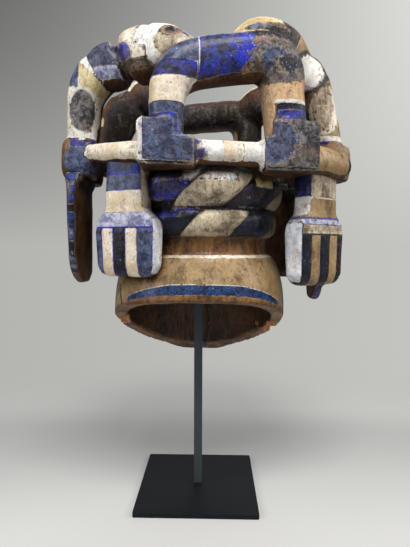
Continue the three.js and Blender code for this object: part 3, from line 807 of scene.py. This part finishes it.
def paintHelmet():
    points, normals = pointsOf(helmetPiece), normalsOf(helmetPiece)
    x, y, z = points.T
    around = aroundNape(points)
    strand, place = strandSides(points)
    radial = np.hypot(x - helmet["x"], y)
    above = z - rimHeight(y)
    outward = (normals[:, 0] * (x - helmet["x"]) + normals[:, 1] * y) / np.maximum(radial, 1)
    shell, hollow = np.array(helmet["outside"]).T, np.array(helmet["hollow"]).T
    reachOut = np.interp(z, shell[0], shell[1])
    middle = (1 + np.interp(z, hollow[0], hollow[1]) / reachOut) / 2
    halfDepth = np.where(y < 0, np.interp(z, shell[0], shell[2]), np.interp(z, shell[0], shell[3]))
    share = np.hypot((x - helmet["x"]) / reachOut, y / halfDepth)
    outside = np.where((share > middle) | (z > 452), reach, -reach)
    outside = np.where((outward < -0.35) & (z < 446), -reach, outside)
    outside = np.minimum(outside, (above - 1) * 1.5)
    paint = Paint(helmetPiece)
    paint.zone("tan", outside, 350 - z)
    paint.zone("cream", outside, between(z, 346.5, 351))
    paint.zone("rust", outside, between(z, 351, 374))
    # The turban's rolls; a degree round them is taken as 1.3 or 2 mm
    rolls = np.minimum(outside, z - 374)
    paint.zone("indigo", rolls)
    paint.zone("taupe", rolls, strand)
    paint.zone("black", rolls, between(z, 407.2, 411.2))
    paint.zone("blue", rolls, between(z, 404.5, 408.5), between(((around + 20) % 120) * 2, 0, 44))
    paint.zone("blue", rolls, -strand - 1, between(z, 420, 443), between(around * 1.3, -56, -8), share=0.35)
    paint.zone("denim", rolls, -strand - 1, between(z, 378, 398), between((around + 30) * 1.3, -26, 10))
    paint.zone("blue", rolls, between(z, 398, 405), between(around * 1.3, -56, -14))
    paint.zone("silver", rolls, between(z, 443, 458), between(around * 1.3, -10, 32), share=0.35)
    paint.zone("slate", outside, z - 460)
    paint.zone("indigo", outside, z - 462, between((around % 72) * 1.2, 8, 40))
    paint.zone("lavender", outside, between(z, 453, 470), between((around - 15) * 2, -42, 44))
    paint.zone("yellow", rolls, between(z, 436, 461), between((around - 46) * 2, -17, 15))
    # The band along the rim at the nape, tapering to its ends
    fromEnd = 54 - abs(around - 6)
    taper = np.sqrt(np.clip(fromEnd / 30, 0, 1))
    bandTop = 8 + 13.5 * taper
    lip = (share > 0.86) | (outside > 0)
    paint.zone("rust", np.where(lip, 5 + 3 * taper - above, -reach))
    paint.zone("rust", np.where(lip, 9 - above, -reach), (-0.3 - normals[:, 2]) * 12)
    paint.zone("denim", outside, above - 4 - 4 * taper, bandTop - above, fromEnd * 2)
    paint.mark("lineWhite", np.clip(1 - abs(above - bandTop) / 5, 0, 1) * (fromEnd > 4))
    # Cracks: one up inside the hollow, one down the neck
    crack = 1.6 - abs(x - helmet["x"] - 9 - 3 * np.sin(z / 17)) + np.clip((250 - z) / 30, 0, 1)
    paint.zone("black", crack, where=(y > 30) & (outside < 0))
    paint.zone("black", 1.5 - abs(around + 57 + (z - 298) * 0.22) * 1.6, between(z, 262, 312), outside)
    # The face, in the same worn paint
    e, m = face["eye"], face["mouth"]
    front = y > 60
    for s in (-1, 1):
        dx, dz = x - s * e["apart"], z - e["z"]
        gap = np.hypot(dx / e["half"], dz / e["tall"])
        paint.zone("indigo", (1.22 - gap) * 10, where=front)
        paint.zone("white", (0.86 - gap) * 10, where=front)
        paint.zone("indigo", (0.42 - np.hypot(dx / 17, dz / 17)) * 14, where=front)
        brow = np.interp(x * s, (8, 26, 45, 62), (320, 324, 320, 306))
        paint.zone("indigo", 5 - abs(z - brow), between(x * s, 5, 64), where=front)
    lips = np.hypot(x / (m["half"] + 3), (z - m["z"]) / 15)
    paint.zone("rust", (1 - lips) * 12, where=front & (y > 104))
    # Painted shade inside the hollow
    paint.mark("insideShade", np.where(outside < 0, 0.3, 0) * (above > 2))
    paint.mark("wear", 0.3 - above / 40)
    torn = np.zeros(len(points))
    for size, spot in helmet["breaks"]:
        torn = np.maximum(torn, 1.35 - np.linalg.norm((points - spot) / (np.array(size) + 1), axis=1))
    paint.mark("pale", np.clip(torn * 3, 0, 1) * (above < 34))
    paint.mark("lineDark", (z > 374) & (z < 455) & (outside > 0) & (abs(place - 36) < 9))
    paint.mark("lineDark", front & (z > 190) & (z < 330))
    return paint


# How closed in each place is, for the painted shade in hollows and under the limbs
shadeRays = {"reach": 30, "rays": 7, "lift": 1.4}


def shades(pieces):
    corners, faces, start = [], [], 0
    for made in pieces:
        points = pointsOf(made)
        corners.append(points)
        faces += [tuple(i + start for i in polygon.vertices) for polygon in made.data.polygons]
        start += len(points)
    tree = bvhtree.BVHTree.FromPolygons(np.concatenate(corners).tolist(), faces)
    chance = np.random.default_rng(5)
    out = []
    for made, points in zip(pieces, corners):
        normals = normalsOf(made)
        side = np.cross(normals, np.where(abs(normals[:, 2:]) < 0.9, (0.0, 0.0, 1.0), (1.0, 0.0, 0.0)))
        side /= np.linalg.norm(side, axis=1)[:, None]
        other = np.cross(normals, side)
        turn = chance.random(len(points)) * 2 * pi
        starts = [Vector(p) for p in (points + normals * shadeRays["lift"]).tolist()]
        closed = np.zeros(len(points))
        for k in range(shadeRays["rays"]):
            angle, lean = turn + 2.4 * k, ((k + 0.5) / shadeRays["rays"]) ** 0.5
            sideways = side * np.cos(angle)[:, None] + other * np.sin(angle)[:, None]
            way = normals * (1 - lean * lean) ** 0.5 + sideways * lean
            for i, direction in enumerate(way.tolist()):
                gap = tree.ray_cast(starts[i], Vector(direction), shadeRays["reach"])[3]
                if gap is not None:
                    closed[i] += 1 - gap / shadeRays["reach"]
        closed /= shadeRays["rays"]
        mean = neighbourMean(made)
        for step in range(3):
            closed = 0.4 * closed + 0.6 * mean(closed)[:, 0]
        out.append({"shade": closed})
    return out


helmetPaint = paintHelmet()
for paint, shade in zip((helmetPaint, framePaint, handPaint), shades((helmetPiece, framePiece, handPiece))):
    paint.write(shade)
print("painted")


# Shader maths: a wrapped socket whose operators add Math nodes

class Value:
    def __init__(self, tree, socket):
        self.tree, self.socket = tree, socket

    def math(self, operation, first, second=None):
        values = {0: first} if second is None else {0: first, 1: second}
        return self.tree.node("ShaderNodeMath", {"operation": operation}, values)

    def least(self, other): return self.math("MINIMUM", self, other)
    def most(self, other): return self.math("MAXIMUM", self, other)
    def __add__(self, other): return self.math("ADD", self, other)
    def __radd__(self, other): return self.math("ADD", other, self)
    def __sub__(self, other): return self.math("SUBTRACT", self, other)
    def __rsub__(self, other): return self.math("SUBTRACT", other, self)
    def __mul__(self, other): return self.math("MULTIPLY", self, other)
    def __rmul__(self, other): return self.math("MULTIPLY", other, self)
    def __truediv__(self, other): return self.math("DIVIDE", self, other)
    def __rtruediv__(self, other): return self.math("DIVIDE", other, self)
    def __abs__(self): return self.math("ABSOLUTE", self)
    def __pow__(self, other): return self.math("POWER", self, other)


class Tree:
    def __init__(self, nodeTree):
        self.nodeTree = nodeTree
        nodeTree.nodes.clear()

    def link(self, value, socket):
        if isinstance(value, Value):
            self.nodeTree.links.new(value.socket, socket)
        elif isinstance(value, bpy.types.NodeSocket):
            self.nodeTree.links.new(value, socket)
        elif hasattr(socket.default_value, "__len__") and len(socket.default_value) == 4 and len(value) == 3:
            socket.default_value = (*value, 1)
        else:
            socket.default_value = value

    def raw(self, kind, settings=None, values=None):
        made = self.nodeTree.nodes.new(kind)
        for name, setting in (settings or {}).items():
            setattr(made, name, setting)
        for name, value in (values or {}).items():
            self.link(value, made.inputs[name])
        return made

    def node(self, kind, settings=None, values=None, out=0):
        return Value(self, self.raw(kind, settings, values).outputs[out])

    def attribute(self, name):
        return self.node("ShaderNodeAttribute", {"attribute_name": name}, out="Fac")

    def noise(self, place, scale, detail=3, roughness=0.55, swirl=0):
        values = {"Vector": place, "Scale": scale, "Detail": detail, "Roughness": roughness, "Distortion": swirl}
        return self.node("ShaderNodeTexNoise", {}, values)

    def soft(self, value, low, high):
        values = {"Value": value, "From Min": low, "From Max": high}
        return self.node("ShaderNodeMapRange", {"interpolation_type": "SMOOTHSTEP"}, values)

    def mix(self, share, first, second, blend="MIX"):
        made = self.raw("ShaderNodeMix", {"data_type": "RGBA", "blend_type": blend})
        self.link(share, made.inputs["Factor"])
        self.link(first, made.inputs[6])
        self.link(second, made.inputs[7])
        return Value(self, made.outputs[2])

    def stretched(self, place, scale):
        return self.node("ShaderNodeVectorMath", {"operation": "MULTIPLY"}, {0: place, 1: scale})

    def place(self):
        return Value(self, self.raw("ShaderNodeTexCoord").outputs["Object"])

    def surface(self, height, strength, values):
        # A Principled surface with a bump, where the height is in metres
        bump = self.raw("ShaderNodeBump", {}, {"Height": height, "Strength": strength, "Distance": 1.0})
        shader = self.raw("ShaderNodeBsdfPrincipled", {}, dict(values, Normal=bump.outputs[0]))
        self.raw("ShaderNodeOutputMaterial", {}, {"Surface": shader.outputs[0]})


def srgb(r, g, b):
    return tuple(((c / 255) / 12.92 if c <= 10 else ((c / 255 + 0.055) / 1.055) ** 2.4) for c in (r, g, b))


def newMaterial(name):
    material = bpy.data.materials.new(name)
    material.use_nodes = True
    return material, Tree(material.node_tree)


# Painted wood: each paint in a darker and a lighter tone
paintLook = {
    "brown": ((36, 23, 13), (104, 68, 40)),
    "pale": ((150, 95, 50), (200, 142, 88)),  # freshly torn wood
    "cream": ((205, 180, 144), (247, 240, 226)),
    "peach": ((186, 140, 98), (232, 196, 154)),
    "ash": ((36, 34, 40), (122, 116, 114)),
    "white": ((206, 202, 194), (250, 249, 246)),
    "yellow": ((172, 150, 104), (228, 212, 166)),
    "tan": ((100, 78, 48), (174, 147, 107)),
    "taupe": ((100, 84, 64), (200, 184, 158)),
    "rust": ((70, 44, 22), (142, 100, 58)),
    "slate": ((36, 42, 66), (86, 96, 128)),
    "lavender": ((104, 108, 146), (196, 196, 214)),
    "denim": ((12, 26, 58), (32, 62, 112)),
    "indigo": ((4, 6, 14), (22, 28, 52)),
    "blue": ((20, 24, 50), (58, 66, 104)),
    "silver": ((166, 172, 182), (246, 248, 250)),
    "black": ((8, 7, 7), (18, 15, 14)),
    "vivid": (14, 36, 178),  # the blue where it has kept its strength
    "flake": 0.36,  # share of the paint that has flaked
    "specks": 0.5,
    "line": 0.6,  # half width of the drawn lines in mm
}


def paintedWoodMaterial():
    material, tree = newMaterial("paintedWood")
    soft, mix, place = tree.soft, tree.mix, tree.place()
    grain = tree.noise(tree.stretched(place, (1, 1, 0.13)), 330, 5, 0.6)
    cloud = tree.noise(place, 26, 4, 0.6)
    patch = tree.noise(place, 75, 5, 0.65, 0.7)
    fine = tree.noise(place, 300, 4, 0.7)
    mottle = tree.noise(place, 125, 6, 0.75, 0.8)
    streak = tree.noise(tree.stretched(place, (1, 1, 0.3)), 85, 5, 0.7, 0.8)
    ragged = (tree.noise(place, 190, 4, 0.7) - 0.5) * 4.6 + (patch - 0.5) * 4.0
    edge, wear, insideShade, shade = (tree.attribute(name) for name in ("edge", "wear", "insideShade", "shade"))

    def tone(name, share):
        return mix(share, *(srgb(*end) for end in paintLook[name]))

    def laid(colour, layers):
        # Tints laid over a colour one after another
        for share, tint in layers:
            colour = mix(share, colour, srgb(*tint))
        return colour
    # Bare wood, with traces of paint on the cage's inner sides
    within = soft(insideShade, 0.25, 0.6)
    chalk = soft(mottle * 0.6 + streak * 0.7 + (fine - 0.5) * 0.4, 0.67, 0.78)
    bareWood = laid(tone("brown", soft(grain + (cloud - 0.5) * 0.8, 0.3, 0.75)), [
        (soft(cloud * 0.6 + patch * 0.6, 0.58, 0.66) * within * 0.85, (24, 28, 60)),
        (chalk * within * 0.75, (158, 146, 128))])
    masks = {}
    total = border = None
    for name in colours:
        field = tree.attribute(name)
        masks[name] = soft(field + ragged, -0.5, 0.5)
        border = border.least(abs(field)) if border else abs(field)
        total = total.most(masks[name]) if total else masks[name]
    smear = soft(cloud + (fine - 0.5) * 0.5 + (streak - 0.5) * 0.9, 0.28, 0.68)
    blotch = soft(mottle + (patch - 0.5) * 0.7, 0.38, 0.64)
    paints = None
    for name in colours:
        own = tone(name, blotch if name in ("ash", "slate", "lavender", "denim", "indigo", "blue") else smear)
        if name == "blue":
            nearBorder = 1 - soft(border, 0.5, 5.0)
            strong = soft(mottle * 0.7 + patch * 0.5 + nearBorder * 0.06, 0.59, 0.71)
            own = mix(strong * 0.88, own, srgb(*paintLook["vivid"]))
        paints = mix(masks[name], paints, own) if paints else own
    # Paint goes first where the wood is proud, and in flakes
    proud = (fine - 0.5) * 1.5 + (patch - 0.5) * 1.7 + (cloud - 0.5) * 1.2 + edge * 0.5 + wear * 0.6
    worn = soft(proud, 1 - paintLook["flake"] * 1.55, 1.15 - paintLook["flake"] * 1.3)
    cover = total * (1 - worn * 0.85)

    def most(names):
        first, *others = (masks[name] for name in names)
        for other in others:
            first = first.most(other)
        return first
    dark = most(("slate", "denim", "indigo", "blue"))
    light = most(("cream", "peach", "white", "yellow", "silver", "tan"))
    # Ochre and grey stains on the light paints, the ochre heavier where the surface is closed in as painted shade; a
    # painted sheen on the taupe; earth and rubbed edges on the dark ones, then the drawn lines
    stainAndShade = soft(streak + (fine - 0.5) * 0.7 + (patch - 0.5) * 0.4 + shade * 0.5, 0.5, 0.7)
    grey = soft(mottle + (cloud - 0.5) * 0.8, 0.56, 0.7) * (1 - masks["tan"])
    # Painted highlight: pale streaks of sheen laid over the taupe paint
    paintedSheen = soft(tree.noise(tree.stretched(place, (0.35, 0.35, 1)), 150, 5, 0.7), 0.54, 0.7)
    earth = soft(mottle * 0.5 + streak * 0.8 + (cloud - 0.5) * 0.9, 0.66, 0.78)
    earthy = masks["blue"] * 0.45 + masks["slate"] * 0.25 + masks["indigo"] * 0.25 + masks["ash"] * 0.6
    rubbed = soft(edge + (fine - 0.5) * 0.9 + (patch - 0.5) * 0.5, 0.5, 0.85) * dark
    width = paintLook["line"] + (fine - 0.5) * 1.1
    ringed = 1 - soft(border + (ragged * 0.22) - width, -0.35, 0.35)
    broken = soft(patch + (fine - 0.5) * 0.5, 0.38, 0.48)
    incised = ringed * tree.attribute("lineDark")
    specks = tree.node("ShaderNodeTexVoronoi", {"feature": "F1"}, {"Vector": place, "Scale": 165}, out="Distance")
    speck = (1 - soft(specks, 0.1, 0.17)) * soft(patch, 0.5, 0.6)
    colour = laid(mix(cover, bareWood, paints), [
        (stainAndShade * light * 0.7, (146, 106, 64)),
        (grey * light * 0.4, (120, 116, 112)),
        (paintedSheen * masks["taupe"] * 0.6, (232, 226, 212)),
        (earth * earthy, (80, 60, 42)),
        (rubbed * 0.55, (160, 150, 136)),
        (ringed * broken * tree.attribute("lineWhite") * 0.8, (226, 220, 210)),
        (ringed * broken * tree.attribute("lineBlue") * 0.9, paintLook["vivid"]),
        (incised * 0.85, (16, 13, 12)),
        (speck * dark * paintLook["specks"], (215, 215, 215))])
    # Painted shade mixed with dirt: darker where the surface is closed in, in hollows, creases and under the limbs;
    # then painted shade on the cage's inner sides and inside the helmet's hollow
    dirtAndShade = soft((patch - 0.5) * 1.4 - edge * 1.5 + (grain - 0.5) * 0.8 + shade * 2.7, 0.3, 1.25)
    for share, tint in ((dirtAndShade * 0.8, (104, 76, 50)), (soft(insideShade, 0.0, 0.7) * 0.9, (112, 106, 100))):
        colour = mix(share, colour, mix(1.0, colour, srgb(*tint), "MULTIPLY"))
    pale = soft(tree.attribute("pale") + (patch - 0.5) * 1.2, 0.45, 0.7)
    colour = mix(pale, colour, tone("pale", soft(grain + (fine - 0.5), 0.3, 0.8)))
    # Paint has a thickness, lines are cut in, grain and fine cracks show
    crack = tree.noise(tree.stretched(place, (1, 1, 0.22)), 95, 3, 0.5)
    cracked = 1 - soft(abs(crack - 0.5), 0.0, 0.014)
    colour = laid(colour, [(cracked * soft(cloud, 0.5, 0.62) * 0.7, (26, 18, 12))])
    height = cover * 0.0003 + (grain - 0.5) * 0.0006 + (fine - 0.5) * 0.0006 + (mottle - 0.5) * 0.0014
    height = height + (patch - 0.5) * 0.0012 - cracked * 0.0004 - incised * 0.0008
    rough = 0.46 - dark * 0.1 - rubbed * 0.06 - smear * 0.12 + (fine - 0.5) * 0.25 + insideShade * 0.2 + dirtAndShade * 0.12
    tree.surface(height, 0.85, {"Base Color": colour, "Roughness": rough, "Specular IOR Level": 0.26,
                                "Coat Weight": cover * 0.13, "Coat Roughness": 0.16})
    return material


# Stand: fine matt coat over mild steel
standLook = {"post": ((58, 65, 69), (82, 89, 93)), "plate": ((17, 20, 23), (32, 36, 40)), "grain": 1900}


def standMaterial(name):
    material, tree = newMaterial(name + "Steel")
    place = tree.place()
    coat = tree.noise(place, standLook["grain"], 3, 0.6)
    cloud = tree.noise(place, 18, 4, 0.6)
    scuff = tree.soft(tree.noise(tree.stretched(place, (1, 4, 1)), 60, 5, 0.7), 0.6, 0.78)
    colour = tree.mix((cloud - 0.5) * 0.7 + scuff * 0.35 + 0.2, *(srgb(*tone) for tone in standLook[name]))
    rough = 0.5 + (cloud - 0.5) * 0.18 + (coat - 0.5) * 0.12 - scuff * 0.08
    tree.surface(coat * 0.00006, 0.7, {"Base Color": colour, "Roughness": rough, "Specular IOR Level": 0.12})
    return material


def dress(made, material):
    made.data.materials.clear()
    made.data.materials.append(material)


wood = paintedWoodMaterial()
for made in (helmetPiece, framePiece, handPiece):
    dress(made, wood)
    made.data.polygons.foreach_set("use_smooth", [True] * len(made.data.polygons))
    made.data.update()
    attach(made, "root")
    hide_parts("mask")
for name in ("plate", "post"):
    dress(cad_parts["stand_" + name], standMaterial(name))
print("materials made")


# Floor that fades into the room, with a band of painted shade across it around and behind the carving; soft light
# from above and in front
studio = {
    "floor": (204, 204, 202), "floorMiddle": (0.03, -0.28), "floorPale": 0.34, "floorEnd": 1.1, "floorReach": 1.5,
    "floorShadeColour": (180, 180, 179), "floorShade": (-0.16, 0.2), "floorLight": (0.19, 0.34),
    "room": 0.2,
    "lights": [  # place, looks at, size, power in watts, colour
        ((0.12, -0.8, 1.6), (0.0, 0.0, 0.45), 0.7, 23, (1, 0.985, 0.96)),
        ((-1.2, -0.7, 0.9), (0.0, 0.0, 0.4), 0.8, 9, (0.97, 0.985, 1)),
        ((1.25, -0.25, 1.0), (0.0, 0.0, 0.4), 0.8, 8, (1, 1, 1)),
        ((0.1, 1.3, 1.5), (0.0, 0.0, 0.4), 1.0, 4, (1, 1, 1))],
}


def makeFloor():
    count, radius = 96, studio["floorReach"]
    x, y = studio["floorMiddle"]
    turns = [2 * pi * k / count for k in range(count)]
    mesh = bpy.data.meshes.new("floor")
    rim = [(x + radius * cos(turn), y + radius * sin(turn), -0.0002) for turn in turns]
    mesh.from_pydata(rim, [], [tuple(range(count))])
    floor = bpy.data.objects.new("floor", mesh)
    bpy.context.scene.collection.objects.link(floor)
    material, tree = newMaterial("paleFloor")
    place = tree.place()
    middle = (*studio["floorMiddle"], 0)
    away = tree.node("ShaderNodeVectorMath", {"operation": "DISTANCE"}, {0: place, 1: middle}, out="Value")
    fade = tree.soft(away, studio["floorPale"], studio["floorEnd"])
    depth = Value(tree, tree.raw("ShaderNodeSeparateXYZ", {}, {0: place}).outputs[1])
    # Painted shade: the floor darkens from in front of the carving to behind it, then lightens again further back
    share = tree.soft(depth + (tree.noise(place, 6, 2) - 0.5) * 0.04, *studio["floorShade"])
    share = share * (1 - tree.soft(depth, *studio["floorLight"]) * 0.9)
    colour = tree.mix(share, srgb(*studio["floor"]), srgb(*studio["floorShadeColour"]))
    values = {"Base Color": colour, "Roughness": 0.7, "Specular IOR Level": 0.2}
    shader = tree.raw("ShaderNodeBsdfPrincipled", {}, values)
    clear = tree.raw("ShaderNodeBsdfTransparent")
    both = tree.raw("ShaderNodeMixShader", {}, {0: fade, 1: shader.outputs[0], 2: clear.outputs[0]})
    tree.raw("ShaderNodeOutputMaterial", {}, {"Surface": both.outputs[0]})
    floor.data.materials.append(material)


def makeRoom():
    world = bpy.data.worlds.new("room")
    bpy.context.scene.world = world
    world.use_nodes = True
    tree = Tree(world.node_tree)
    direction = Value(tree, tree.raw("ShaderNodeTexCoord").outputs["Generated"])
    split = tree.raw("ShaderNodeSeparateXYZ", {}, {0: direction})
    across, ahead, up = (Value(tree, socket) for socket in split.outputs)
    high = up.most(0.0)
    # Painted light on the backdrop, seen only by the camera: darker towards the upper left, lighter towards the right
    tone = 0.732 - high * 0.17 + across * (0.07 + 1.1 * high) * tree.soft(ahead, 0.15, 0.75)
    seen = tone ** 2.2
    colour = tree.node("ShaderNodeCombineXYZ", {}, {0: seen * 1.0, 1: seen * 1.0, 2: seen * 0.965})
    shown = tree.raw("ShaderNodeBackground", {}, {"Color": colour, "Strength": 1.0})
    lit = tree.raw("ShaderNodeBackground", {}, {"Color": (1, 1, 0.99), "Strength": studio["room"]})
    path = tree.raw("ShaderNodeLightPath")
    ends = {0: path.outputs["Is Camera Ray"], 1: lit.outputs[0], 2: shown.outputs[0]}
    both = tree.raw("ShaderNodeMixShader", {}, ends)
    tree.raw("ShaderNodeOutputWorld", {}, {"Surface": both.outputs[0]})


def makeLights():
    for index, (place, aim, size, power, colour) in enumerate(studio["lights"]):
        data = bpy.data.lights.new(f"softLight{index}", "AREA")
        data.shape, data.size, data.energy, data.color = "DISK", size, power, colour
        lamp = bpy.data.objects.new(data.name, data)
        lamp.location = place
        lamp.rotation_euler = (Vector(aim) - Vector(place)).to_track_quat("-Z", "Y").to_euler()
        bpy.context.scene.collection.objects.link(lamp)


def makeCamera():
    data = bpy.data.cameras.new("camera")
    data.lens, data.sensor_width, data.sensor_fit = camera["lens"], 36, "AUTO"
    data.clip_start, data.clip_end = 0.01, 50
    made = bpy.data.objects.new("camera", data)
    made.location = camera["at"]
    made.rotation_euler = [radians(v) for v in camera["turn"]]
    bpy.context.scene.collection.objects.link(made)
    bpy.context.scene.camera = made


makeFloor()
makeRoom()
makeLights()
makeCamera()
bpy.context.scene.view_settings.view_transform = "Standard"
print("stage set")

bpy.context.view_layer.update()
